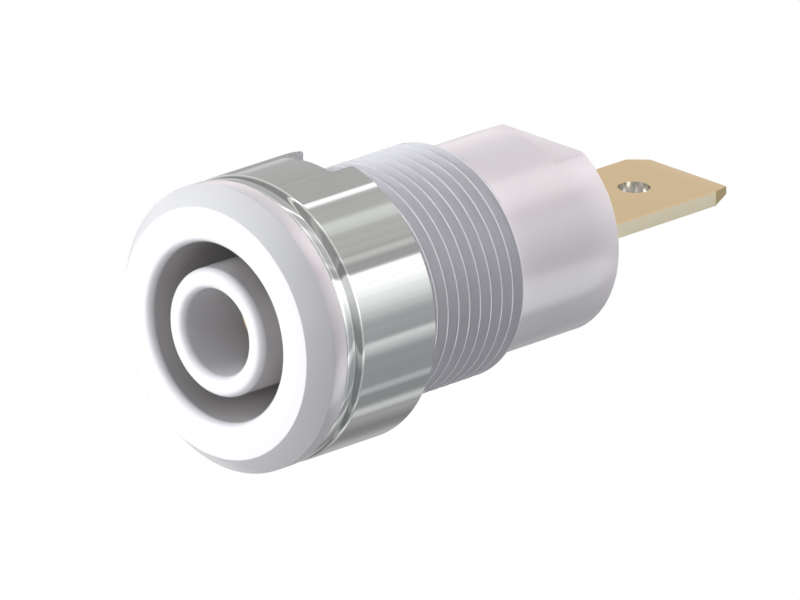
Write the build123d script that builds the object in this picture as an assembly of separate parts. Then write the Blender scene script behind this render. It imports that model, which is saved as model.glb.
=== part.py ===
"""Panel-mounting 4 mm safety socket with a ring nut, a washer and a flat tab.

Millimetres. The socket's axis is Y and the origin lies on it, in the plane of the flange's rear face.
The plug goes in at the front, towards +Y, and the tab stands out at the rear. +Z is up, across the tab's faces.
"""

from build123d import *
from math import ceil
import os

# Contact for the plug's pin
PIN_BORE_D = 4.0            # bore that takes the plug's pin
CONTACT_WALL = 0.55         # wall of the turned tube
CONTACT_MOUTH = 0.3         # lead-in chamfer at the tube's mouth
CONTACT_FLOOR = 0.8         # metal between the bore's end and the tab's slot
PRESS_GAP = 0.02            # radial gap between a metal or plastic insert and its seat
COLLAR_RIM = 0.55           # metal beyond each edge of the tab at the collar
COLLAR_LENGTH = 1.9         # collar behind the tube
SLOT_DEPTH = 1.4            # how deep the tab stands in the collar
COLLAR_CHAMFER = 0.2        # edge that is pressed into the moulding

# Moulded housing, from the sleeve outwards
SLEEVE_WALL = 0.68          # insulation round the contact tube
LIP_GAP = 0.2               # how far the lip's bore clears the pin bore
LIP_LENGTH = 4.0            # insulation in front of the contact tube
SLEEVE_ROUND = 0.36         # both edges of the sleeve's rim
SHROUD_GAP = 1.28           # ring-shaped gap for the plug's shroud
BARREL_WALL = 0.87          # wall of the plain rear barrel
THREAD_STEP = 0.6           # how far the thread stands out past the rear barrel
FLANGE_RIM = 1.25           # how far the flange stands out past the thread

# Moulded housing, along the axis
FLANGE_THICKNESS = 1.9
BEVEL_LENGTH = 1.0          # sloped front edge of the flange, along the axis
BEVEL_WIDTH = 0.92          # the same edge, across the axis
BEVEL_ROUND = 0.12          # soft corners at both ends of the bevel
MOUTH_ROUND = 0.37          # edge of the recess
RECESS_DEPTH = 18.7         # recess behind the front face
RECESS_ROUND = 0.25         # corners at the recess's floor
WEB_THICKNESS = 1.1         # floor of the recess, which carries the sleeve
THREAD_LENGTH = 13.8        # threaded stretch behind the flange
THREAD_CHAMFER = 0.3        # lead-in at the thread's end
FLAT_WALL = 0.88            # wall between the rear counterbore and each flat
FLAT_LENGTH = 2.1           # flats at the rear end
REAR_ROUND = 0.08           # edge of the rear face

# Thread on the housing: one right-hand groove
THREAD_PITCH = 0.75
THREAD_DEPTH = 0.46         # from the crest to the root
THREAD_CREST = 0.09         # flat left between two turns of the groove
THREAD_ROOT = 0.12          # flat at the bottom of the groove
THREAD_START = 0.49         # where the groove starts behind the flange, on the underside
GROOVE_OVERCUT = 0.04       # how far the cutter reaches past the crests
GROOVE_TURNS = 3            # turns that one cutter makes: a single long sweep doesn't cut cleanly

# Insulating disc behind the collar
DISC_THICKNESS = 1.0
DISC_CHAMFER = 0.15
TAB_GAP = 0.05              # gap round the tab in the disc, and in the collar's slot

# Flat tab
TAB_WIDTH = 6.3
TAB_THICKNESS = 0.8
TAB_REACH = 10.5            # length behind the housing's rear face
TAB_HOLE_D = 1.65
TAB_HOLE_SETBACK = 3.9      # hole's centre to the tip
TAB_CORNER_WIDTH = 0.5      # cut corners, across the tab
TAB_CORNER_LENGTH = 1.3     # cut corners, along the tab
TAB_BEVEL_DEPTH = 0.18      # bevel on both faces at the tip
TAB_BEVEL_LENGTH = 1.2

# Washer and ring nut
SEAT_GAP = 0.02             # air between the flange, the washer and the nut
WASHER_GAP = 0.1            # radial gap round the thread
WASHER_RIM = 1.1            # width of the washer's ring
WASHER_THICKNESS = 0.6
WASHER_EDGE = 0.06          # broken edges
NUT_GAP = 0.05              # radial running gap on the thread
NUT_WALL = 1.2
NUT_LENGTH = 5.5
NUT_FRONT_ROUND = 0.55      # large rounding on the washer's side
NUT_REAR_CHAMFER = 0.1
NUT_BORE_CHAMFER = 0.35     # both ends of the threaded bore
NUT_SLOT_WIDTH = 3.5        # key slots in the rear face
NUT_SLOT_DEPTH = 1.55
NUT_SLOT_COUNT = 2
NUT_SLOT_ROUND = 0.38       # one edge of each slot's mouth
NUT_TURN = 3.1              # degrees by which the first slot has stopped short of the top

# Radii that follow from the walls
pin_r = PIN_BORE_D / 2
contact_r = pin_r + CONTACT_WALL
contact_seat_r = contact_r + PRESS_GAP
sleeve_r = contact_seat_r + SLEEVE_WALL
lip_r = pin_r + LIP_GAP
recess_r = sleeve_r + SHROUD_GAP
barrel_r = recess_r + BARREL_WALL
thread_r = barrel_r + THREAD_STEP
flange_r = thread_r + FLANGE_RIM
collar_r = max(TAB_WIDTH / 2, contact_r) + COLLAR_RIM
counterbore_r = collar_r + PRESS_GAP
flat_z = counterbore_r + FLAT_WALL

# Stations along the axis
front_y = -FLANGE_THICKNESS
lip_y = front_y + LIP_LENGTH
recess_y = front_y + RECESS_DEPTH
collar_y = recess_y + WEB_THICKNESS
disc_y = collar_y + COLLAR_LENGTH
rear_y = disc_y + DISC_THICKNESS
tab_root_y = disc_y - SLOT_DEPTH
tab_tip_y = rear_y + TAB_REACH
washer_y = SEAT_GAP
nut_y = washer_y + WASHER_THICKNESS + SEAT_GAP
nut_end_y = nut_y + NUT_LENGTH


def turned(*corners):
    """Turn a closed section about the Y axis.

    Each corner is (radius, y), or (radius, y, rounding) where the corner is rounded.
    """
    points = [(corner[0], corner[1]) for corner in corners]
    rounding = [corner[2] if len(corner) > 2 else 0 for corner in corners]
    section = make_face(FilletPolyline(*points, radius=rounding, close=True))
    return revolve(section, Axis.Y)


def block(width, height, start_y, end_y):
    """A block centred on the axis in X and Z, between two stations."""
    return Pos(0, (start_y + end_y) / 2, 0) * Box(width, end_y - start_y, height)


def thread_cutters():
    """Helical cutters for the thread's groove, each starting where the one before it ends."""
    root_r = thread_r - THREAD_DEPTH
    outer_r = thread_r + GROOVE_OVERCUT
    flank_rise = (THREAD_PITCH - THREAD_CREST - THREAD_ROOT) / 2 / THREAD_DEPTH
    root_half = THREAD_ROOT / 2
    outer_half = root_half + flank_rise * (outer_r - root_r)
    section = make_face(Polyline(
        (root_r, -root_half),
        (outer_r, -outer_half),
        (outer_r, outer_half),
        (root_r, root_half),
        close=True,
    ))
    lead = GROOVE_TURNS * THREAD_PITCH
    helix = Helix(pitch=THREAD_PITCH, height=lead, radius=root_r)
    groove = Rot(-90, 0, 0) * sweep(Plane.XZ * section, path=helix, is_frenet=True)
    count = ceil((THREAD_LENGTH + outer_half - THREAD_START) / lead)
    return [Pos(0, THREAD_START + index * lead, 0) * groove for index in range(count)]


def make_housing():
    """One moulding: flange, recess, sleeve with its lip, threaded barrel, rear barrel and counterbore."""
    body = turned(
        (lip_r, front_y, SLEEVE_ROUND),
        (sleeve_r, front_y, SLEEVE_ROUND),
        (sleeve_r, recess_y, RECESS_ROUND),
        (recess_r, recess_y, RECESS_ROUND),
        (recess_r, front_y, MOUTH_ROUND),
        (flange_r - BEVEL_WIDTH, front_y, BEVEL_ROUND),
        (flange_r, front_y + BEVEL_LENGTH, BEVEL_ROUND),
        (flange_r, 0),
        (thread_r, 0),
        (thread_r, THREAD_LENGTH - THREAD_CHAMFER),
        (thread_r - THREAD_CHAMFER, THREAD_LENGTH),
        (barrel_r, THREAD_LENGTH),
        (barrel_r, rear_y, REAR_ROUND),
        (counterbore_r, rear_y),
        (counterbore_r, collar_y),
        (contact_seat_r, collar_y),
        (contact_seat_r, lip_y),
        (lip_r, lip_y),
    )
    for cutter in thread_cutters():
        body -= cutter
    # The grooves are cut from the seam of the turned body, which is then brought round to the underside
    body = Rot(0, 90, 0) * body
    flat_depth = barrel_r
    for side in (-1, 1):
        cutter = block(2 * barrel_r, flat_depth, rear_y - FLAT_LENGTH, rear_y)
        body -= Pos(0, 0, side * (flat_z + flat_depth / 2)) * cutter
    return body


def make_contact_tube():
    """Turned tube with the pin bore, and a slotted collar that carries the tab."""
    bore_end_y = tab_root_y - CONTACT_FLOOR
    body = turned(
        (0, bore_end_y),
        (pin_r, bore_end_y),
        (pin_r, lip_y + CONTACT_MOUTH),
        (pin_r + CONTACT_MOUTH, lip_y),
        (contact_r, lip_y),
        (contact_r, collar_y),
        (collar_r - COLLAR_CHAMFER, collar_y),
        (collar_r, collar_y + COLLAR_CHAMFER),
        (collar_r, disc_y),
        (0, disc_y),
    )
    return body - block(2 * collar_r, TAB_THICKNESS + 2 * TAB_GAP, tab_root_y, disc_y)


def make_rear_insulator():
    """Disc that closes the counterbore behind the collar, with a slot for the tab."""
    body = turned(
        (0, disc_y),
        (collar_r - DISC_CHAMFER, disc_y),
        (collar_r, disc_y + DISC_CHAMFER),
        (collar_r, rear_y),
        (0, rear_y),
    )
    return body - block(TAB_WIDTH + 2 * TAB_GAP, TAB_THICKNESS + 2 * TAB_GAP, disc_y, rear_y)


def make_flat_tab():
    """Stamped blade with cut corners, a bevelled tip and one round hole."""
    half = TAB_WIDTH / 2
    outline = Polyline(
        (-half, tab_root_y),
        (half, tab_root_y),
        (half, tab_tip_y - TAB_CORNER_LENGTH),
        (half - TAB_CORNER_WIDTH, tab_tip_y),
        (TAB_CORNER_WIDTH - half, tab_tip_y),
        (-half, tab_tip_y - TAB_CORNER_LENGTH),
        close=True,
    )
    blade = extrude(make_face(outline), TAB_THICKNESS / 2, both=True)
    tip_edges = blade.edges().filter_by(Axis.X).sort_by(Axis.Y)[-2:]
    tip_face = blade.faces().sort_by(Axis.Y)[-1]
    blade = chamfer(tip_edges, TAB_BEVEL_DEPTH, TAB_BEVEL_LENGTH, reference=tip_face)
    return blade - Pos(0, tab_tip_y - TAB_HOLE_SETBACK, 0) * Cylinder(TAB_HOLE_D / 2, 2 * TAB_THICKNESS)


def make_washer():
    """Flat washer with broken edges."""
    inner_r = thread_r + WASHER_GAP
    outer_r = inner_r + WASHER_RIM
    end_y = washer_y + WASHER_THICKNESS
    return turned(
        (inner_r, washer_y),
        (outer_r, washer_y, WASHER_EDGE),
        (outer_r, end_y, WASHER_EDGE),
        (inner_r, end_y),
    )


def make_ring_nut():
    """Round nut, rounded at the front, with key slots in its rear face."""
    bore_r = thread_r + NUT_GAP
    outer_r = bore_r + NUT_WALL
    body = turned(
        (bore_r + NUT_BORE_CHAMFER, nut_y),
        (outer_r, nut_y, NUT_FRONT_ROUND),
        (outer_r, nut_end_y - NUT_REAR_CHAMFER),
        (outer_r - NUT_REAR_CHAMFER, nut_end_y),
        (bore_r + NUT_BORE_CHAMFER, nut_end_y),
        (bore_r, nut_end_y - NUT_BORE_CHAMFER),
        (bore_r, nut_y + NUT_BORE_CHAMFER),
    )
    half = NUT_SLOT_WIDTH / 2
    mouth = RadiusArc((half, nut_end_y - NUT_SLOT_ROUND), (half + NUT_SLOT_ROUND, nut_end_y), NUT_SLOT_ROUND)
    walls = Polyline(
        (half + NUT_SLOT_ROUND, nut_end_y),
        (-half, nut_end_y),
        (-half, nut_end_y - NUT_SLOT_DEPTH),
        (half, nut_end_y - NUT_SLOT_DEPTH),
        (half, nut_end_y - NUT_SLOT_ROUND),
    )
    slot = extrude(make_face([mouth, walls]), 2 * outer_r)
    for index in range(NUT_SLOT_COUNT):
        body -= Rot(0, index * 360 / NUT_SLOT_COUNT - NUT_TURN, 0) * slot
    return body


os.makedirs("parts", exist_ok=True)
export_step(make_housing(), "parts/housing.step")
export_step(make_contact_tube(), "parts/contact_tube.step")
export_step(make_rear_insulator(), "parts/rear_insulator.step")
export_step(make_flat_tab(), "parts/flat_tab.step")
export_step(make_washer(), "parts/washer.step")
export_step(make_ring_nut(), "parts/ring_nut.step")
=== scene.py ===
"""Looks of a panel-mounting 4 mm safety socket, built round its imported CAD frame.

The socket's axis is Y, with the plug's side towards -Y and the flat tab towards +Y. The origin lies on the axis,
in the plane of the flange's rear face. Sizes are written in millimetres and turned into metres by MM.
Angles round the axis count from +Z towards +X.
"""

import logging
import math
from dataclasses import dataclass, field
from enum import Enum

import bmesh
import bpy
from mathutils import Matrix, Vector


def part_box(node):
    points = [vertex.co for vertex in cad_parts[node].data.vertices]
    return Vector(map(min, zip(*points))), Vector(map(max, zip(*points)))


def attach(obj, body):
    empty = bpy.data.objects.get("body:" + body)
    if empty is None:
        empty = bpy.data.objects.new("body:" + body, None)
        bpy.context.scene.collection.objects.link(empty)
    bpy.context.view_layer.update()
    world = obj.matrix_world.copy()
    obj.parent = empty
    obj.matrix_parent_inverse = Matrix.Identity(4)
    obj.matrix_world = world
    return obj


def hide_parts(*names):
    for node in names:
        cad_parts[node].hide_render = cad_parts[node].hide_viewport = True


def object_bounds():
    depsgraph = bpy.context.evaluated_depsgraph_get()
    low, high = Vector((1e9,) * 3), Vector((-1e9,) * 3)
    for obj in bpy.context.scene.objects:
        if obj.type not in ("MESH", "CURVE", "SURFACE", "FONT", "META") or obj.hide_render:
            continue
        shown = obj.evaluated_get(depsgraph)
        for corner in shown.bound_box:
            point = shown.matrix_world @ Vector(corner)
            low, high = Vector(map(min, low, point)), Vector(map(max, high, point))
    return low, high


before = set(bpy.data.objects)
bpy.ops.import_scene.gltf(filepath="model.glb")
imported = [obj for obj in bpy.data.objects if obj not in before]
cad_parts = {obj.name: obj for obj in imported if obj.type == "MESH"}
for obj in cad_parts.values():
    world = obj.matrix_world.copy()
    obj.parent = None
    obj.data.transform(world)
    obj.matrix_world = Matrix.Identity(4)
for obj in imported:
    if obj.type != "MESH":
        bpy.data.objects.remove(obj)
CAD_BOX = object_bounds()

MM = 0.001
MERGE_DISTANCE = 1e-6       # metres, below which two corners are one
CUT_DISTANCE = 1e-7         # metres, within which a corner lies on a cut
TOUCH = 0.001               # millimetres, by which a place is told apart from its neighbours
LOG = logging.getLogger("safety_socket")
Colour = tuple[float, float, float]
WHITE = (1.0, 1.0, 1.0, 1.0)


class Body(Enum):
    """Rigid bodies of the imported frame."""

    HOUSING = "root"
    WASHER = "washer"
    NUT = "nut"


class Slot(Enum):
    """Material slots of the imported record."""

    HOUSING = "white_plastic"
    INSULATOR = "insulator"
    CONTACT = "contact_gold"
    TAB = "tab_gold"
    WASHER = "washer_nickel"
    NUT = "nut_nickel"


@dataclass(frozen=True)
class Corner:
    """One corner of a turned section, in millimetres, with the radius that rounds it."""

    radius: float
    station: float
    rounding: float = 0.0
    segments: int = 5


def station(node: str, end: int) -> float:
    """Give the place of a node's end along the axis.

    Args:
        node: Name of the CAD node.
        end: 0 for the end towards the plug, 1 for the end towards the tab.

    Returns:
        The station in millimetres.
    """
    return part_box(node)[end].y / MM


def wire_section(bm: bmesh.types.BMesh, corners: list[Corner], closed: bool) -> None:
    """Draw a section in the plane above the axis and round its corners.

    Args:
        bm: Mesh that takes the wire.
        corners: Corners in order.
        closed: Whether the last corner joins the first.
    """
    verts = [bm.verts.new((0.0, c.station * MM, c.radius * MM)) for c in corners]
    for first, second in zip(verts, verts[1:]):
        bm.edges.new((first, second))
    if closed:
        bm.edges.new((verts[-1], verts[0]))
    for vert, corner in zip(verts, corners):
        if corner.rounding > 0.0:
            ends = [edge.other_vert(vert).co - vert.co for edge in vert.link_edges]
            half_turn = (math.pi - ends[0].angle(ends[1])) / 2
            bmesh.ops.bevel(bm, geom=[vert], offset=corner.rounding * MM * math.tan(half_turn), offset_type="OFFSET",
                            segments=corner.segments, profile=0.5, affect="VERTICES", material=-1)


def spin_section(bm: bmesh.types.BMesh, steps: int, lead: float = 0.0) -> None:
    """Spin everything in a mesh once round the socket's axis.

    Args:
        bm: Mesh that holds the wire.
        steps: Steps in the full turn.
        lead: Advance along the axis in one turn, in millimetres.
    """
    bmesh.ops.spin(bm, geom=bm.verts[:] + bm.edges[:], cent=(0, 0, 0), axis=(0, 1, 0),
                   dvec=(0, lead * MM / steps, 0), angle=math.tau, steps=steps, use_merge=lead == 0.0)
    bmesh.ops.remove_doubles(bm, verts=bm.verts[:], dist=MERGE_DISTANCE)


def turned(corners: list[Corner], steps: int = 192) -> bmesh.types.BMesh:
    """Turn a closed section into a solid of revolution about the axis.

    Args:
        corners: Corners of the closed section.
        steps: Steps in the full turn.

    Returns:
        The new mesh.
    """
    bm = bmesh.new()
    wire_section(bm, corners, closed=True)
    spin_section(bm, steps)
    bmesh.ops.recalc_face_normals(bm, faces=bm.faces[:])
    return bm


def prism(outline: list[tuple[float, float]], low: float, high: float, turn: float = 0.0) -> bmesh.types.BMesh:
    """Raise a flat outline along Z.

    Args:
        outline: Corners along X and Y in millimetres, in order.
        low: Height of its underside in millimetres.
        high: Height of its top in millimetres.
        turn: Turn about the socket's axis in degrees, made last.

    Returns:
        The new mesh.
    """
    bm = bmesh.new()
    base = bm.faces.new([bm.verts.new((x * MM, y * MM, low * MM)) for x, y in outline])
    raised = bmesh.ops.extrude_face_region(bm, geom=[base])["geom"]
    bmesh.ops.translate(bm, vec=(0, 0, (high - low) * MM),
                        verts=[item for item in raised if isinstance(item, bmesh.types.BMVert)])
    bmesh.ops.recalc_face_normals(bm, faces=bm.faces[:])
    bmesh.ops.rotate(bm, cent=(0, 0, 0), matrix=Matrix.Rotation(math.radians(turn), 3, "Y"), verts=bm.verts[:])
    return bm


def loose_object(bm: bmesh.types.BMesh, name: str) -> bpy.types.Object:
    """Turn a mesh in hand into an object, and free the mesh in hand."""
    mesh = bpy.data.meshes.new(name)
    bm.to_mesh(mesh)
    bm.free()
    piece = bpy.data.objects.new(name, mesh)
    bpy.context.scene.collection.objects.link(piece)
    return piece


def carved(work: bmesh.types.BMesh, cutter: bmesh.types.BMesh) -> bmesh.types.BMesh:
    """Cut one closed mesh out of another.

    Args:
        work: Mesh that loses material. It is freed.
        cutter: Mesh of the hole. It is freed.

    Returns:
        The cut mesh.
    """
    base = loose_object(work, "carve_work")
    tool = loose_object(cutter, "carve_cutter")
    cut = base.modifiers.new("carve", "BOOLEAN")
    cut.operation = "DIFFERENCE"
    cut.solver = "EXACT"
    cut.object = tool
    result = bmesh.new()
    result.from_object(base, bpy.context.evaluated_depsgraph_get())
    for helper in (base, tool):
        mesh = helper.data
        bpy.data.objects.remove(helper)
        bpy.data.meshes.remove(mesh)
    return result


def finished_piece(bm: bmesh.types.BMesh, name: str, body: Body, slot: Slot, node: str,
                   *materials: bpy.types.Material, sharp: float = 32.0) -> bpy.types.Object:
    """Shade a mesh, make it a piece and let it stand for its CAD node.

    Args:
        bm: Finished mesh. It is freed.
        name: Name of the piece.
        body: Body that it rides on.
        slot: Record slot of its finish. Not used.
        node: CAD node that it stands for.
        materials: Materials of the piece, in the order that its faces number them.
        sharp: Angle in degrees from which an edge is sharp.

    Returns:
        The new object.
    """
    for face in bm.faces:
        face.smooth = True
    for edge in bm.edges:
        edge.smooth = not (edge.is_manifold and edge.calc_face_angle() > math.radians(sharp))
    piece = loose_object(bm, name)
    for material in materials:
        piece.data.materials.append(material)
    level = piece.modifiers.new("even_shading", "WEIGHTED_NORMAL")
    level.mode = "FACE_AREA"
    level.keep_sharp = True
    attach(piece, body.value)
    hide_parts(node)
    LOG.info("%s: %d faces", name, len(piece.data.polygons))
    return piece


class Graph:
    """Short way to build a node tree."""

    def __init__(self, tree: bpy.types.NodeTree) -> None:
        """Take a node tree and empty it."""
        self.tree = tree
        self.tree.nodes.clear()

    def add(self, kind: str, **values: object) -> bpy.types.Node:
        """Add a node.

        Args:
            kind: Type name of the node.
            values: Properties to set; names of inputs are given with underscores for blanks.

        Returns:
            The new node.
        """
        node = self.tree.nodes.new(kind)
        for key, value in values.items():
            if hasattr(node, key):
                setattr(node, key, value)
            else:
                node.inputs[key.replace("_", " ")].default_value = value
        return node

    def math(self, operation: str, first: object, second: object = 0.0) -> bpy.types.NodeSocket:
        """Add a Math node and give its output; each argument is a number or a socket."""
        node = self.tree.nodes.new("ShaderNodeMath")
        node.operation = operation
        for socket, value in zip(node.inputs, (first, second)):
            if isinstance(value, bpy.types.NodeSocket):
                self.link(value, socket)
            else:
                socket.default_value = value
        return node.outputs[0]

    def link(self, source: bpy.types.NodeSocket, target: bpy.types.NodeSocket) -> None:
        """Join two sockets."""
        self.tree.links.new(source, target)


class EffectGroup(Graph):
    """Node group of a surface effect, which puts out a height, a roughness and a tone."""

    def __init__(self, name: str, scale_name: str, scale: float, roughness: tuple[float, float]) -> None:
        """Make the group with its sockets.

        Args:
            name: Name of the group.
            scale_name: Name of the input that sets how fine the effect is.
            scale: Its default.
            roughness: Defaults of the lowest and highest roughness.
        """
        super().__init__(bpy.data.node_groups.new(name, "ShaderNodeTree"))
        inputs = ((scale_name, scale), ("Roughness Low", roughness[0]), ("Roughness High", roughness[1]))
        for label, value in inputs:
            socket = self.tree.interface.new_socket(name=label, in_out="INPUT", socket_type="NodeSocketFloat")
            socket.default_value = value
        for label in ("Height", "Roughness", "Tone"):
            self.tree.interface.new_socket(name=label, in_out="OUTPUT", socket_type="NodeSocketFloat")
        self.inlet = self.add("NodeGroupInput")
        self.outlet = self.add("NodeGroupOutput")
        self.place = self.add("ShaderNodeTexCoord").outputs["Object"]

    def noise(self, scale: float, detail: float, roughness: float) -> bpy.types.NodeSocket:
        """Add a noise of one scale over the piece and give its output."""
        node = self.add("ShaderNodeTexNoise", Scale=scale, Detail=detail, Roughness=roughness)
        self.link(self.place, node.inputs["Vector"])
        return node.outputs["Fac"]

    def put_out(self, height: bpy.types.NodeSocket, gloss: bpy.types.NodeSocket, tone: bpy.types.NodeSocket) -> None:
        """Join the outputs.

        Args:
            height: Height of the relief.
            gloss: Mask that runs from the lowest to the highest roughness.
            tone: Mask that runs from the deep to the light tone.
        """
        rough = self.add("ShaderNodeMapRange")
        self.link(gloss, rough.inputs["Value"])
        self.link(self.inlet.outputs["Roughness Low"], rough.inputs["To Min"])
        self.link(self.inlet.outputs["Roughness High"], rough.inputs["To Max"])
        self.link(height, self.outlet.inputs["Height"])
        self.link(rough.outputs["Result"], self.outlet.inputs["Roughness"])
        self.link(tone, self.outlet.inputs["Tone"])


def moulding_grain() -> None:
    """Make the shared effect of a moulded surface: a fine grain and a slow change of tone."""
    graph = EffectGroup("moulding_grain", "Grain Scale", 2500.0, (0.3, 0.4))
    grain = graph.add("ShaderNodeTexNoise", Detail=3.0, Roughness=0.6)
    graph.link(graph.place, grain.inputs["Vector"])
    graph.link(graph.inlet.outputs["Grain Scale"], grain.inputs["Scale"])
    flow = graph.noise(160.0, 2.0, 0.4)
    graph.put_out(grain.outputs["Fac"], flow, flow)


def turning_marks() -> None:
    """Make the shared effect of a turned and plated surface: fine rings round the axis."""
    graph = EffectGroup("turning_marks", "Rings Per Metre", 12000.0, (0.08, 0.14))
    along = graph.add("ShaderNodeSeparateXYZ")
    graph.link(graph.place, along.inputs[0])
    rings = graph.add("ShaderNodeTexNoise", noise_dimensions="1D", Scale=1.0, Detail=2.0, Roughness=0.7)
    graph.link(graph.math("MULTIPLY", along.outputs["Y"], graph.inlet.outputs["Rings Per Metre"]), rings.inputs["W"])
    cloud = graph.noise(420.0, 3.0, 0.5)
    graph.put_out(rings.outputs["Fac"], cloud, cloud)


def rolled_sheet() -> None:
    """Make the shared effect of rolled and stamped sheet: fine lines along the axis."""
    graph = EffectGroup("rolled_sheet", "Line Scale", 3000.0, (0.28, 0.4))
    stretch = graph.add("ShaderNodeMapping")
    stretch.inputs["Scale"].default_value = (1.0, 0.06, 1.0)
    graph.link(graph.place, stretch.inputs["Vector"])
    lines = graph.add("ShaderNodeTexNoise", Detail=3.0, Roughness=0.6)
    graph.link(stretch.outputs["Vector"], lines.inputs["Vector"])
    graph.link(graph.inlet.outputs["Line Scale"], lines.inputs["Scale"])
    graph.put_out(lines.outputs["Fac"], lines.outputs["Fac"], graph.noise(300.0, 2.0, 0.5))


class Effect(Enum):
    """Shared surface effects, by the name of their node group."""

    GRAIN = "moulding_grain"
    TURNING = "turning_marks"
    ROLLING = "rolled_sheet"


@dataclass(frozen=True)
class Finish:
    """One finish: two close tones, its gloss, the effect that varies it and the height of its relief in millimetres."""

    name: str
    light: Colour
    deep: Colour
    effect: Effect
    roughness: tuple[float, float]
    relief: float
    metallic: float = 0.0
    scale: float | None = None

    def material(self) -> bpy.types.Material:
        """Build the finish as a node material.

        Returns:
            The new material.
        """
        material = bpy.data.materials.new(self.name)
        material.use_nodes = True
        graph = Graph(material.node_tree)
        shader = graph.add("ShaderNodeBsdfPrincipled", Metallic=self.metallic)
        out = graph.add("ShaderNodeOutputMaterial")
        effect = graph.add("ShaderNodeGroup", node_tree=bpy.data.node_groups[self.effect.value])
        effect.inputs["Roughness Low"].default_value = self.roughness[0]
        effect.inputs["Roughness High"].default_value = self.roughness[1]
        if self.scale is not None:
            effect.inputs[0].default_value = self.scale
        tone = graph.add("ShaderNodeMix", data_type="RGBA")
        colour_sockets = [socket for socket in tone.inputs if socket.type == "RGBA"]
        colour_sockets[0].default_value = (*self.deep, 1.0)
        colour_sockets[1].default_value = (*self.light, 1.0)
        relief = graph.add("ShaderNodeBump", Strength=1.0, Distance=self.relief * MM)
        graph.link(effect.outputs["Tone"], tone.inputs["Factor"])
        graph.link([socket for socket in tone.outputs if socket.type == "RGBA"][0], shader.inputs["Base Color"])
        graph.link(effect.outputs["Roughness"], shader.inputs["Roughness"])
        graph.link(effect.outputs["Height"], relief.inputs["Height"])
        graph.link(relief.outputs["Normal"], shader.inputs["Normal"])
        graph.link(shader.outputs["BSDF"], out.inputs["Surface"])
        return material


WHITE_MOULDING = Finish("white_moulding", (0.77, 0.765, 0.79), (0.735, 0.73, 0.755), Effect.GRAIN, (0.22, 0.28), 0.0004)
# Darker copy of the white moulding for the recess's walls: painted shade where the recess runs deep.
RECESS_SHADE_MOULDING = Finish("deep_moulding", (0.67, 0.65, 0.655), (0.63, 0.61, 0.615), Effect.GRAIN, (0.16, 0.22), 0.0004)
# Lighter, bluer copy of the white moulding for the thread: painted light that makes up for the shade in its grooves.
THREAD_LIT_MOULDING = Finish("thread_moulding", (0.84, 0.85, 0.89), (0.8, 0.81, 0.85), Effect.GRAIN, (0.22, 0.28), 0.0004)
REAR_MOULDING = Finish("rear_moulding", (0.75, 0.74, 0.76), (0.71, 0.7, 0.72), Effect.GRAIN, (0.45, 0.55), 0.001)
BRIGHT_NICKEL = Finish("bright_nickel", (0.66, 0.67, 0.65), (0.62, 0.635, 0.62), Effect.TURNING, (0.03, 0.06), 0.00003,
                       metallic=1.0, scale=4000.0)
MILLED_NICKEL = Finish("milled_nickel", (0.66, 0.67, 0.66), (0.6, 0.61, 0.6), Effect.TURNING, (0.24, 0.32), 0.00001,
                       metallic=1.0, scale=4000.0)
WASHER_NICKEL = Finish("washer_nickel", (0.7, 0.71, 0.7), (0.66, 0.67, 0.66), Effect.TURNING, (0.06, 0.1), 0.00006,
                       metallic=1.0, scale=4000.0)
TURNED_GOLD = Finish("turned_gold", (0.85, 0.66, 0.38), (0.78, 0.6, 0.34), Effect.TURNING, (0.2, 0.3), 0.0002,
                     metallic=1.0)
STAMPED_GOLD = Finish("stamped_gold", (0.92, 0.7, 0.395), (0.88, 0.665, 0.37), Effect.ROLLING, (0.28, 0.36), 0.0003,
                      metallic=0.75)
SHEARED_GOLD = Finish("sheared_gold", (0.98, 0.89, 0.66), (0.94, 0.84, 0.6), Effect.ROLLING, (0.3, 0.36), 0.00005,
                      metallic=0.75)
PUNCHED_GOLD = Finish("punched_gold", (0.8, 0.77, 0.69), (0.7, 0.67, 0.6), Effect.TURNING, (0.16, 0.22), 0.0014,
                      metallic=0.95, scale=4000.0)
CROPPED_GOLD = Finish("cropped_gold", (0.7, 0.57, 0.28), (0.66, 0.53, 0.26), Effect.ROLLING, (0.3, 0.36), 0.0003,
                      metallic=0.75)


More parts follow.
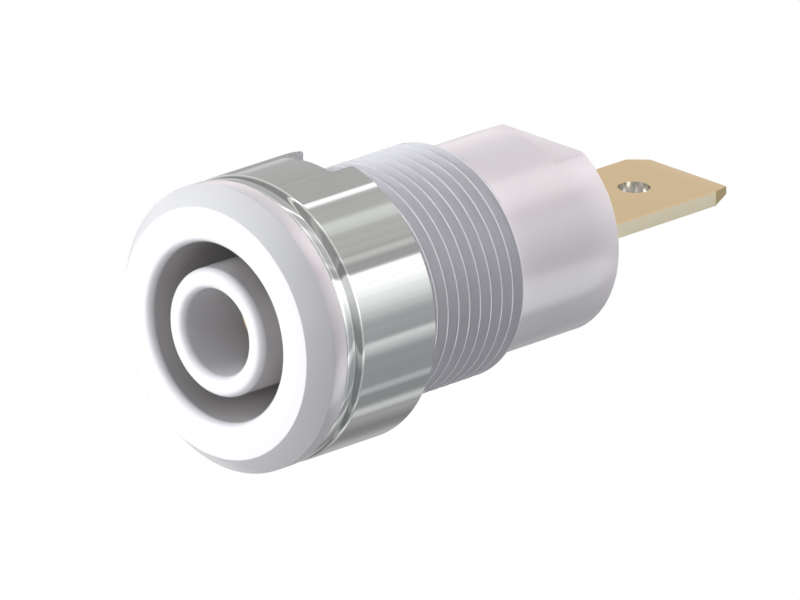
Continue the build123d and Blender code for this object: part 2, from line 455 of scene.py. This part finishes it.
@dataclass
class HousingMoulding:
    """White moulding: flange, recess, sleeve with its lip, threaded barrel, rear barrel and counterbore."""

    lip_r: float = 2.2
    sleeve_r: float = 3.25
    recess_r: float = 4.53
    bevel_r: float = 6.33
    flange_r: float = 7.25
    thread_r: float = 6.0
    root_r: float = 5.54
    barrel_r: float = 5.4
    counterbore_r: float = 3.72
    contact_seat_r: float = 2.57
    bevel_end: float = -0.9         # stations along the axis
    lip_end: float = 2.1
    recess_floor: float = 16.8
    collar_seat: float = 17.9
    thread_end: float = 13.8
    thread_chamfer: float = 0.3
    pitch: float = 0.75
    crest_at_top: float = 13.24     # where a crest crosses the top of the barrel
    crest_half: float = 0.05
    root_half: float = 0.06
    flat_start: float = 18.7
    flat_z: float = 4.6
    flat_edge: float = 0.01         # width of the step where a flat starts
    sleeve_round: float = 0.36
    mouth_round: float = 0.37
    floor_round: float = 0.25
    face_round: float = 0.1         # between the front face and the bevel
    edge_round: float = 0.04
    rear_round: float = 0.08
    crest_round: float = 0.04
    thread_gap: float = 0.03        # ring between the thread and the flange's rear face
    zone_gap: float = 0.1           # keeps the contact's seat out of the recess, and the recess out of the thread
    steps: int = 192
    front: float = field(init=False)
    rear: float = field(init=False)

    def __post_init__(self) -> None:
        """Take both ends from the frame."""
        self.front = station("housing", 0)
        self.rear = station("housing", 1)

    def shell(self) -> bmesh.types.BMesh:
        """Spin everything but the thread, from the barrel's step round the inside to the flange's rear face.

        Returns:
            An open mesh with one round edge at each end of the thread.
        """
        bm = bmesh.new()
        wire_section(bm, [
            Corner(self.barrel_r, self.thread_end),
            Corner(self.barrel_r, self.flat_start - self.flat_edge),
            Corner(self.barrel_r, self.flat_start),
            Corner(self.barrel_r, self.rear, self.rear_round, 3),
            Corner(self.counterbore_r, self.rear),
            Corner(self.counterbore_r, self.collar_seat),
            Corner(self.contact_seat_r, self.collar_seat),
            Corner(self.contact_seat_r, self.lip_end),
            Corner(self.lip_r, self.lip_end),
            Corner(self.lip_r, self.front, self.sleeve_round, 8),
            Corner(self.sleeve_r, self.front, self.sleeve_round, 8),
            Corner(self.sleeve_r, self.recess_floor, self.floor_round, 4),
            Corner(self.recess_r, self.recess_floor, self.floor_round, 4),
            Corner(self.recess_r, self.front, self.mouth_round, 8),
            Corner(self.bevel_r, self.front, self.face_round, 4),
            Corner(self.flange_r, self.bevel_end, self.edge_round, 3),
            Corner(self.flange_r, 0.0, self.edge_round, 2),
            Corner(self.thread_r + self.thread_gap, 0.0),
        ], closed=False)
        spin_section(bm, self.steps)
        return bm

    def thread(self) -> bmesh.types.BMesh:
        """Spin a comb of crests through one turn with one pitch of lead, which makes a right-hand helix.

        Returns:
            An open mesh that ends in a wavy edge in the flange's plane and in the plane of the barrel's step.
        """
        flank = self.pitch / 2 - self.crest_half - self.root_half
        turns = math.ceil(self.thread_end / self.pitch) + 2
        first = self.crest_at_top - self.pitch * turns
        corners = []
        for index in range(turns + 2):
            crest = first + index * self.pitch
            for radius, offset in ((self.root_r, -self.crest_half - flank), (self.thread_r, -self.crest_half),
                                   (self.thread_r, self.crest_half), (self.root_r, self.crest_half + flank)):
                corners.append(Corner(radius, crest + offset, self.crest_round, 2))
        corners[0] = Corner(corners[0].radius, corners[0].station)
        corners[-1] = Corner(corners[-1].radius, corners[-1].station)
        bm = bmesh.new()
        wire_section(bm, corners, closed=False)
        spin_section(bm, self.steps, self.pitch)
        chamfer_start = self.thread_end - self.thread_chamfer
        self.cut_plane(bm, self.thread_end, side=1)
        self.cut_plane(bm, 0.0, side=-1)
        self.cut_plane(bm, chamfer_start, side=0)
        for vert in bm.verts:
            spare = (self.thread_r + chamfer_start) * MM - vert.co.y
            reach = math.hypot(vert.co.x, vert.co.z)
            if reach > spare:
                vert.co.x *= spare / reach
                vert.co.z *= spare / reach
        return bm

    def cut_plane(self, bm: bmesh.types.BMesh, place: float, side: int) -> None:
        """Cut a mesh across the axis.

        Args:
            bm: Mesh to cut.
            place: Station of the cut in millimetres.
            side: 1 clears what lies beyond, -1 what lies before, 0 nothing.
        """
        bmesh.ops.bisect_plane(bm, geom=bm.verts[:] + bm.edges[:] + bm.faces[:], dist=CUT_DISTANCE,
                               plane_co=(0, place * MM, 0), plane_no=(0, 1, 0),
                               clear_outer=side == 1, clear_inner=side == -1)

    def press_flats(self, bm: bmesh.types.BMesh) -> None:
        """Press the two flats into the rear end."""
        for vert in bm.verts:
            if vert.co.y > (self.flat_start - self.flat_edge / 2) * MM:
                vert.co.z = max(-self.flat_z * MM, min(self.flat_z * MM, vert.co.z))

    def zone(self, centre: Vector) -> int:
        """Tell which of the moulding's finishes a face takes.

        Args:
            centre: The face's centre in millimetres.

        Returns:
            0 for the plain moulding, 1 for the recess's walls, whose darker tone is painted shade, and 2 for the
            thread, whose lighter tone is painted light.
        """
        radius = math.hypot(centre.x, centre.z)
        # The recess's walls take a darker copy of the moulding: painted shade.
        if (self.contact_seat_r + self.zone_gap < radius < self.recess_r + TOUCH
                and self.front + self.mouth_round < centre.y < self.collar_seat):
            return 1
        # The thread takes a lighter copy of the moulding: painted light in place of the light that its grooves shut
        # out.
        threaded = self.recess_r + self.zone_gap < radius < self.thread_r + TOUCH and 0.0 < centre.y < self.thread_end
        return 2 if threaded else 0

    def build(self, *materials: bpy.types.Material) -> bpy.types.Object:
        """Build the whole moulding as one closed mesh.

        Args:
            materials: Materials of the plain moulding, of the recess's walls with their painted shade, and of the
                thread with its painted light.

        Returns:
            The new piece.
        """
        bm = self.shell()
        self.press_flats(bm)
        thread = self.thread()
        helix = bpy.data.meshes.new("thread_helix")
        thread.to_mesh(helix)
        thread.free()
        bm.from_mesh(helix)
        bpy.data.meshes.remove(helix)
        for place in (0.0, self.thread_end):
            rims = [edge for edge in bm.edges if edge.is_boundary
                    and all(abs(vert.co.y - place * MM) < MERGE_DISTANCE for vert in edge.verts)]
            bmesh.ops.triangle_fill(bm, use_beauty=True, edges=rims, normal=(0, 1, 0))
        bmesh.ops.recalc_face_normals(bm, faces=bm.faces[:])
        open_edges = sum(not edge.is_manifold for edge in bm.edges)
        LOG.info("housing: %d open edges", open_edges)
        for face in bm.faces:
            face.material_index = self.zone(face.calc_center_median() / MM)
        return finished_piece(bm, "socket_housing", Body.HOUSING, Slot.HOUSING, "housing", *materials)


@dataclass
class ContactSet:
    """Turned contact tube, stamped tab and the insulating disc between them."""

    pin_r: float = 2.0
    tube_r: float = 2.55
    collar_r: float = 3.7
    mouth: float = 0.3
    collar_start: float = 17.9
    collar_chamfer: float = 0.2
    disc_chamfer: float = 0.15
    disc_round: float = 0.06
    bore_end: float = 17.6
    tab_half: float = 3.15
    tab_thickness: float = 0.8
    slot_height: float = 0.9
    corner_width: float = 0.5
    corner_length: float = 1.3
    tip_depth: float = 0.18         # bevel of the tip on each face
    tip_length: float = 1.2
    hole_r: float = 0.825
    hole_setback: float = 3.9
    slot_gap: float = 0.05
    wear: float = 0.05              # bevel on the sheared edges
    worn_angle: float = 50.0        # degrees from which an edge is worn
    shear_end: float = 1.0          # length of the tip whose edges look rolled
    upright: float = 0.3            # below this share of Z in its normal, a face is sheared
    cropped: float = 0.6            # the same for the cropped corners
    overrun: float = 1.0            # how far a cutter reaches past the piece
    steps: int = 96

    def build_tube(self, material: bpy.types.Material) -> bpy.types.Object:
        """Turn the contact tube and mill the slot across its collar."""
        start = station("contact_tube", 0)
        end = station("contact_tube", 1)
        slot_start = station("flat_tab", 0)
        bm = turned([
            Corner(0.0, self.bore_end),
            Corner(self.pin_r, self.bore_end),
            Corner(self.pin_r, start + self.mouth),
            Corner(self.pin_r + self.mouth, start),
            Corner(self.tube_r, start),
            Corner(self.tube_r, self.collar_start),
            Corner(self.collar_r - self.collar_chamfer, self.collar_start),
            Corner(self.collar_r, self.collar_start + self.collar_chamfer),
            Corner(self.collar_r, end),
            Corner(0.0, end),
        ], self.steps)
        bm = carved(bm, self.slot_cutter(3 * self.collar_r, slot_start, end + self.overrun))
        return finished_piece(bm, "contact_sleeve", Body.HOUSING, Slot.CONTACT, "contact_tube", material)

    def build_disc(self, material: bpy.types.Material) -> bpy.types.Object:
        """Turn the insulating disc and cut the tab's slot through it."""
        start = station("rear_insulator", 0)
        end = station("rear_insulator", 1)
        bm = turned([
            Corner(0.0, start),
            Corner(self.collar_r - self.disc_chamfer, start),
            Corner(self.collar_r, start + self.disc_chamfer),
            Corner(self.collar_r, end, self.disc_round, 2),
            Corner(0.0, end),
        ], self.steps)
        width = 2 * (self.tab_half + self.slot_gap)
        bm = carved(bm, self.slot_cutter(width, start - self.overrun, end + self.overrun))
        return finished_piece(bm, "rear_disc", Body.HOUSING, Slot.INSULATOR, "rear_insulator", material)

    def slot_cutter(self, width: float, start: float, end: float) -> bmesh.types.BMesh:
        """Make the cutter of the tab's slot, of one width between two stations."""
        outline = [(-width / 2, start), (width / 2, start), (width / 2, end), (-width / 2, end)]
        return prism(outline, -self.slot_height / 2, self.slot_height / 2)

    def tab_zone(self, normal: Vector, centre: Vector, tip: float) -> int:
        """Tell which of the tab's finishes a face takes.

        Args:
            normal: The face's normal.
            centre: The face's centre in millimetres.
            tip: Station of the tab's tip in millimetres.

        Returns:
            0 for the rolled faces, 1 for the sheared edges, 2 for the hole's wall and 3 for the cropped corners.
        """
        upright = abs(normal.z) < self.upright
        if upright and math.hypot(centre.x, centre.y - tip + self.hole_setback) < self.hole_r + TOUCH:
            return 2
        if (abs(normal.z) < self.cropped and abs(centre.x) > self.tab_half - self.corner_width
                and centre.y > tip - self.corner_length):
            return 3
        return int(upright and centre.y < tip - self.shear_end)

    def build_tab(self, *materials: bpy.types.Material) -> bpy.types.Object:
        """Stamp the tab: outline, thickness, bevelled tip, worn shear edges and the hole.

        Args:
            materials: Materials of the rolled faces, the sheared edges, the hole's wall and the cropped corners.

        Returns:
            The new piece.
        """
        root = station("flat_tab", 0)
        tip = station("flat_tab", 1)
        half_thickness = self.tab_thickness / 2
        outline = [(-self.tab_half, root), (self.tab_half, root), (self.tab_half, tip - self.corner_length),
                   (self.tab_half - self.corner_width, tip), (self.corner_width - self.tab_half, tip),
                   (-self.tab_half, tip - self.corner_length)]
        bm = prism(outline, -half_thickness, half_thickness)
        bmesh.ops.bisect_plane(bm, geom=bm.verts[:] + bm.edges[:] + bm.faces[:], dist=CUT_DISTANCE,
                               plane_co=(0, (tip - self.tip_length) * MM, 0), plane_no=(0, 1, 0))
        for vert in bm.verts:
            if vert.co.y > (tip - TOUCH) * MM:
                vert.co.z = math.copysign((half_thickness - self.tip_depth) * MM, vert.co.z)
        worn_angle = math.radians(self.worn_angle)
        shear = [edge for edge in bm.edges if edge.is_manifold and edge.calc_face_angle() > worn_angle
                 and max(vert.co.y for vert in edge.verts) > (root + 2 * self.wear) * MM]
        bmesh.ops.bevel(bm, geom=shear, offset=self.wear * MM, offset_type="OFFSET", segments=2, profile=0.5,
                        affect="EDGES", material=-1, clamp_overlap=True)
        hole = bmesh.new()
        bmesh.ops.create_cone(hole, cap_ends=True, segments=64, radius1=self.hole_r * MM, radius2=self.hole_r * MM,
                              depth=3 * self.tab_thickness * MM,
                              matrix=Matrix.Translation((0, (tip - self.hole_setback) * MM, 0)))
        blade = carved(bm, hole)
        blade.normal_update()
        for face in blade.faces:
            face.material_index = self.tab_zone(face.normal, face.calc_center_median() / MM, tip)
        return finished_piece(blade, "tab_blade", Body.HOUSING, Slot.TAB, "flat_tab", *materials, sharp=25.0)


@dataclass
class ClampSet:
    """Washer and ring nut."""

    washer_bore_r: float = 6.1
    washer_r: float = 7.2
    nut_bore_r: float = 6.05
    nut_r: float = 7.25
    nut_round: float = 0.55
    rear_chamfer: float = 0.1
    bore_chamfer: float = 0.35
    slot_width: float = 3.5
    slot_depth: float = 1.55
    slot_round: float = 0.38
    slot_turn: float = -3.1         # degrees round the axis from the top
    slot_reach: float = 2.5         # how far a cutter goes in from the outside
    overrun: float = 1.0            # how far it starts outside
    washer_round: float = 0.06
    facing: float = 0.9             # above this share of its normal, a face looks along the axis or across the slot
    steps: int = 256

    def build_washer(self, material: bpy.types.Material) -> bpy.types.Object:
        """Turn the washer with broken edges."""
        start = station("washer", 0)
        end = station("washer", 1)
        bm = turned([
            Corner(self.washer_bore_r, start),
            Corner(self.washer_r, start, self.washer_round, 3),
            Corner(self.washer_r, end, self.washer_round, 3),
            Corner(self.washer_bore_r, end),
        ])
        return finished_piece(bm, "clamp_washer", Body.WASHER, Slot.WASHER, "washer", material)

    def build_nut(self, material: bpy.types.Material, slot_material: bpy.types.Material) -> bpy.types.Object:
        """Turn the nut and mill its two key slots.

        Args:
            material: Material of the turned faces.
            slot_material: Material of the milled slots.

        Returns:
            The new piece.
        """
        start = station("ring_nut", 0)
        end = station("ring_nut", 1)
        bm = turned([
            Corner(self.nut_bore_r + self.bore_chamfer, start),
            Corner(self.nut_r, start, self.nut_round, 10),
            Corner(self.nut_r, end - self.rear_chamfer),
            Corner(self.nut_r - self.rear_chamfer, end),
            Corner(self.nut_bore_r + self.bore_chamfer, end),
            Corner(self.nut_bore_r, end - self.bore_chamfer),
            Corner(self.nut_bore_r, start + self.bore_chamfer),
        ], self.steps)
        for side in (0.0, 180.0):
            bm = carved(bm, self.slot_cutter(end, self.slot_turn + side))
        bm.normal_update()
        upright = Matrix.Rotation(math.radians(-self.slot_turn), 3, "Y")
        for face in bm.faces:
            middle = upright @ face.calc_center_median() / MM
            inside = (abs(middle.x) < self.slot_width / 2 + self.slot_round
                      and end - self.slot_depth - TOUCH < middle.y < end - TOUCH)
            wall = abs((upright @ face.normal).x) > self.facing or face.normal.y > self.facing
            face.material_index = int(inside and wall)
        return finished_piece(bm, "key_nut", Body.NUT, Slot.NUT, "ring_nut", material, slot_material)

    def slot_cutter(self, end: float, turn: float) -> bmesh.types.BMesh:
        """Make the cutter of one key slot, which leaves one edge of the slot's mouth rounded.

        Args:
            end: Station of the nut's rear face in millimetres.
            turn: Turn about the socket's axis in degrees.

        Returns:
            The new mesh.
        """
        half = self.slot_width / 2
        top = end + self.overrun
        floor = end - self.slot_depth
        outline = [(half + self.slot_round, top), (-half, top), (-half, floor), (half, floor)]
        bends = 8
        for index in range(bends + 1):
            bend = math.pi / 2 * index / bends
            outline.append((half + self.slot_round * (1 - math.cos(bend)),
                            end - self.slot_round * (1 - math.sin(bend))))
        return prism(outline, self.nut_r - self.slot_reach, self.nut_r + self.overrun, turn)


@dataclass(frozen=True)
class Stop:
    """Level of what the metal reflects at one place of a ramp."""

    place: float
    level: float
    tint: Colour = (1.0, 1.0, 1.0)


@dataclass(frozen=True)
class Card:
    """White card beside the socket, which the metal reflects as a stripe.

    The angle counts round the socket's axis from +Z towards +X, as seen from the socket.
    """

    angle: float
    half_width: float
    level: float
    edge: float = 1.5
    fade: float = 3.0

    def stops(self) -> list[Stop]:
        """Give the stripe's four corners on the ramp."""
        return [Stop(self.angle - self.half_width - self.edge, 0.0), Stop(self.angle - self.half_width, self.level),
                Stop(self.angle + self.half_width, self.level), Stop(self.angle + self.half_width + self.fade, 0.0)]


@dataclass(frozen=True)
class SoftBox:
    """One soft lamp, placed by its direction from the socket.

    A sheen lamp only shows as a highlight on the moulding. Any other lamp gives no highlight.
    """

    name: str
    azimuth: float
    elevation: float
    distance: float
    size: float
    watts: float
    colour: Colour = (1.0, 1.0, 1.0)
    sheen: bool = False


@dataclass
class Studio:
    """Camera, lamps, surroundings and floor.

    The tent and the cards are ramps round the socket's axis, in degrees from +Z towards +X. The tilt is a ramp over the
    share of a direction that runs along the axis. Together they make what the metal reflects.
    """

    target: Vector = field(default_factory=lambda: Vector((4.86, 5.97, 1.11)))
    distance: float = 793.7
    azimuth: float = 44.44
    elevation: float = 20.31
    roll: float = 1.07
    lens: float = 734.3
    floor_drop: float = 60.0
    floor_size: float = 700.0
    ceiling: float = 1.7            # level that a ramp's 1 stands for
    even_level: float = 0.02
    even_colour: Colour = (0.97, 0.98, 1.0)
    floor_colour: Colour = (0.4, 0.4, 0.41)
    front_card: tuple[float, float, float] = (-0.657, -0.67, -0.347)    # direction of the large card in front
    front_edges: tuple[float, float] = (0.72, 0.9)                      # cosines between which it fades in
    front_level: float = 2.5
    streaks: float = 0.1            # share by which the reflections vary round the axis
    streak_scale: float = 90.0
    tent: tuple[Stop, ...] = (
        Stop(-180, 0.46), Stop(-165, 0.28), Stop(-155, 0.32), Stop(-142, 0.5), Stop(-118, 0.48), Stop(-98, 0.45),
        Stop(-78, 0.59), Stop(-20, 0.6), Stop(10, 0.66), Stop(33, 0.64), Stop(45, 0.5),
        Stop(90, 0.53, (0.98, 1.0, 1.03)), Stop(125, 0.43, (0.97, 1.0, 1.04)),
        Stop(160, 0.36, (0.97, 1.0, 1.04)), Stop(180, 0.46),
    )
    cards: tuple[Card, ...] = (
        Card(-89, 1.5, 0.25, 5.0, 8.0), Card(-14, 1.2, 1.1, 1.5, 2.5), Card(11, 3.0, 0.28, 3.0, 6.0),
        Card(41, 1.0, 0.26), Card(59, 6.0, 1.05, 1.2, 28.0), Card(111, 1.5, 0.4, 3.0, 8.0),
        Card(149, 1.5, 0.22, 3.0), Card(170, 1.5, 0.37, 5.0, 5.0),
    )
    tilt: tuple[Stop, ...] = (
        Stop(-1.0, 0.65), Stop(0.12, 0.6), Stop(0.36, 1.3), Stop(0.45, 1.7), Stop(0.53, 1.55), Stop(0.6, 1.0),
        Stop(0.76, 1.0), Stop(0.84, 1.5), Stop(0.91, 0.9), Stop(1.0, 0.6),
    )
    lamps: tuple[SoftBox, ...] = (
        SoftBox("front_box", 180.0, -2.0, 300.0, 120.0, 0.4, (0.97, 0.99, 1.0)),
        SoftBox("top_box", 180.0, 55.0, 300.0, 200.0, 0.11, (0.93, 0.97, 1.0)),
        SoftBox("left_box", 225.0, 15.0, 300.0, 200.0, 0.74, (0.98, 0.99, 1.0)),
        SoftBox("rear_box", 10.0, 25.0, 300.0, 200.0, 0.9, (1.0, 0.91, 0.925)),
        SoftBox("right_box", 90.0, 60.0, 300.0, 200.0, 0.15),
        SoftBox("top_sheen", -47.0, 9.0, 300.0, 150.0, 0.03, (1.0, 0.8, 0.83), sheen=True),
        SoftBox("upper_sheen", 19.0, 45.0, 300.0, 150.0, 0.15, (1.0, 0.88, 0.9), sheen=True),
        SoftBox("lower_sheen", 39.0, -31.0, 105.0, 56.0, 0.024, (0.97, 0.99, 1.0), sheen=True),
    )

    def build_camera(self) -> None:
        """Place the camera at the photograph's angle."""
        azimuth = math.radians(self.azimuth)
        elevation = math.radians(self.elevation)
        roll = math.radians(self.roll)
        forward = Vector((-math.sin(azimuth) * math.cos(elevation), math.cos(azimuth) * math.cos(elevation),
                          -math.sin(elevation)))
        level = Vector((math.cos(azimuth), math.sin(azimuth), 0.0))
        upright = level.cross(forward)
        right = level * math.cos(roll) + upright * math.sin(roll)
        up = right.cross(forward)
        data = bpy.data.cameras.new("photo_camera")
        data.sensor_width = 36.0
        data.lens = self.lens
        data.clip_start = 0.01
        data.clip_end = 10.0
        camera = bpy.data.objects.new("photo_camera", data)
        turn = Matrix((right, up, -forward)).transposed().to_4x4()
        camera.matrix_world = Matrix.Translation((self.target - forward * self.distance) * MM) @ turn
        bpy.context.scene.collection.objects.link(camera)
        bpy.context.scene.camera = camera

    def build_lamps(self) -> None:
        """Place the soft lamps round the socket, each facing it."""
        moulded = bpy.data.collections.new("moulded_pieces")
        for name in ("socket_housing", "rear_disc"):
            moulded.objects.link(bpy.data.objects[name])
        for box in self.lamps:
            azimuth = math.radians(box.azimuth)
            elevation = math.radians(box.elevation)
            away = Vector((math.sin(azimuth) * math.cos(elevation), math.cos(azimuth) * math.cos(elevation),
                           math.sin(elevation)))
            data = bpy.data.lights.new(box.name, "AREA")
            data.shape = "DISK"
            data.size = box.size * MM
            data.energy = box.watts
            data.color = box.colour
            lamp = bpy.data.objects.new(box.name, data)
            lamp.matrix_world = (Matrix.Translation((self.target + away * box.distance) * MM)
                                 @ away.to_track_quat("Z", "Y").to_matrix().to_4x4())
            lamp.visible_glossy = box.sheen
            lamp.visible_camera = False
            bpy.context.scene.collection.objects.link(lamp)
            if box.sheen:
                data.diffuse_factor = 0.0
                lamp.light_linking.receiver_collection = moulded

    def build_world(self) -> None:
        """Make a white background with an even soft light, and strips of light that the metal reflects."""
        world = bpy.data.worlds.new("white_studio")
        world.use_nodes = True
        bpy.context.scene.world = world
        graph = Graph(world.node_tree)
        direction = graph.add("ShaderNodeTexCoord").outputs["Generated"]
        parts = graph.add("ShaderNodeSeparateXYZ")
        graph.link(direction, parts.inputs[0])
        angle = graph.math("ARCTAN2", parts.outputs["X"], parts.outputs["Z"])
        turn = graph.math("ADD", graph.math("DIVIDE", angle, math.tau), 0.5)
        tent = self.add_ramp(graph, turn, list(self.tent), -180.0, 180.0)
        cards = self.add_ramp(graph, turn, [stop for card in self.cards for stop in card.stops()], -180.0, 180.0)
        round_axis = graph.add("ShaderNodeVectorMath", operation="ADD")
        graph.link(tent, round_axis.inputs[0])
        graph.link(cards, round_axis.inputs[1])
        along = graph.math("MULTIPLY_ADD", parts.outputs["Y"], 0.5)
        along.node.inputs[2].default_value = 0.5
        tilt = self.add_ramp(graph, along, list(self.tilt), -1.0, 1.0)
        streaks = graph.add("ShaderNodeTexNoise", noise_dimensions="1D", Scale=self.streak_scale, Detail=4.0,
                            Roughness=0.6)
        graph.link(turn, streaks.inputs["W"])
        uneven = graph.math("MULTIPLY_ADD", streaks.outputs["Fac"], 2 * self.streaks)
        uneven.node.inputs[2].default_value = 1.0 - self.streaks
        level = graph.add("ShaderNodeVectorMath", operation="SCALE")
        graph.link(round_axis.outputs[0], level.inputs[0])
        graph.link(graph.math("MULTIPLY", tilt, uneven), level.inputs["Scale"])
        aim = graph.add("ShaderNodeVectorMath", operation="DOT_PRODUCT")
        graph.link(direction, aim.inputs[0])
        aim.inputs[1].default_value = self.front_card
        card = graph.add("ShaderNodeMapRange", interpolation_type="SMOOTHSTEP", From_Min=self.front_edges[0],
                         From_Max=self.front_edges[1], To_Min=0.0, To_Max=self.front_level)
        graph.link(aim.outputs["Value"], card.inputs["Value"])
        total = graph.add("ShaderNodeVectorMath", operation="ADD")
        graph.link(level.outputs[0], total.inputs[0])
        graph.link(card.outputs["Result"], total.inputs[1])
        reflected = graph.add("ShaderNodeBackground", Strength=1.0)
        graph.link(total.outputs[0], reflected.inputs["Color"])
        even = graph.add("ShaderNodeBackground", Color=(*self.even_colour, 1.0), Strength=self.even_level)
        white = graph.add("ShaderNodeBackground", Color=WHITE, Strength=1.0)
        path = graph.add("ShaderNodeLightPath")
        gloss = graph.add("ShaderNodeMixShader")
        graph.link(graph.math("MAXIMUM", path.outputs["Is Glossy Ray"], path.outputs["Is Transmission Ray"]),
                   gloss.inputs["Fac"])
        graph.link(even.outputs[0], gloss.inputs[1])
        graph.link(reflected.outputs[0], gloss.inputs[2])
        seen = graph.add("ShaderNodeMixShader")
        graph.link(path.outputs["Is Camera Ray"], seen.inputs["Fac"])
        graph.link(gloss.outputs[0], seen.inputs[1])
        graph.link(white.outputs[0], seen.inputs[2])
        out = graph.add("ShaderNodeOutputWorld")
        graph.link(seen.outputs[0], out.inputs["Surface"])

    def add_ramp(self, graph: Graph, place: bpy.types.NodeSocket, stops: list[Stop], low: float,
                 high: float) -> bpy.types.NodeSocket:
        """Add a ramp of reflected levels.

        Args:
            graph: Node tree of the world.
            place: Socket that runs from 0 to 1.
            stops: Stops in order.
            low: Place that counts as 0.
            high: Place that counts as 1.

        Returns:
            The level's socket.
        """
        node = graph.add("ShaderNodeValToRGB")
        graph.link(place, node.inputs["Fac"])
        ramp = node.color_ramp
        ramp.elements.remove(ramp.elements[1])
        for index, stop in enumerate(stops):
            spot = (stop.place - low) / (high - low)
            element = ramp.elements.new(spot) if index else ramp.elements[0]
            element.position = spot
            element.color = (*(stop.level / self.ceiling * part for part in stop.tint), 1.0)
        scaled = graph.add("ShaderNodeVectorMath", operation="SCALE", Scale=self.ceiling)
        graph.link(node.outputs["Color"], scaled.inputs[0])
        return scaled.outputs[0]

    def build_floor(self) -> None:
        """Lay a plain pale floor below the socket, which the camera sees as white."""
        bm = bmesh.new()
        bmesh.ops.create_grid(bm, x_segments=1, y_segments=1, size=self.floor_size / 2 * MM)
        bmesh.ops.translate(bm, vec=(0, 0, CAD_BOX[0].z - self.floor_drop * MM), verts=bm.verts[:])
        floor = loose_object(bm, "studio_floor")
        material = bpy.data.materials.new("pale_floor")
        material.use_nodes = True
        graph = Graph(material.node_tree)
        paint = graph.add("ShaderNodeBsdfDiffuse", Color=(*self.floor_colour, 1.0))
        white = graph.add("ShaderNodeEmission", Color=WHITE, Strength=1.0)
        path = graph.add("ShaderNodeLightPath")
        seen = graph.add("ShaderNodeMixShader")
        out = graph.add("ShaderNodeOutputMaterial")
        graph.link(path.outputs["Is Camera Ray"], seen.inputs["Fac"])
        graph.link(paint.outputs[0], seen.inputs[1])
        graph.link(white.outputs[0], seen.inputs[2])
        graph.link(seen.outputs[0], out.inputs["Surface"])
        floor.data.materials.append(material)
        floor.visible_glossy = False

    def build(self) -> None:
        """Build the whole set."""
        self.build_camera()
        self.build_lamps()
        self.build_world()
        self.build_floor()
        bpy.context.scene.view_settings.view_transform = "Standard"


def main() -> None:
    """Build the socket and the studio."""
    logging.basicConfig(level=logging.INFO)
    for make_group in (moulding_grain, turning_marks, rolled_sheet):
        make_group()
    # The recess's walls and the thread take shaded and lit copies of the moulding: painted shade and painted light.
    HousingMoulding().build(WHITE_MOULDING.material(), RECESS_SHADE_MOULDING.material(), THREAD_LIT_MOULDING.material())
    contacts = ContactSet()
    contacts.build_tube(TURNED_GOLD.material())
    contacts.build_disc(REAR_MOULDING.material())
    contacts.build_tab(STAMPED_GOLD.material(), SHEARED_GOLD.material(), PUNCHED_GOLD.material(),
                       CROPPED_GOLD.material())
    clamp = ClampSet()
    clamp.build_washer(WASHER_NICKEL.material())
    clamp.build_nut(BRIGHT_NICKEL.material(), MILLED_NICKEL.material())
    Studio().build()


if __name__ == "__main__":
    main()
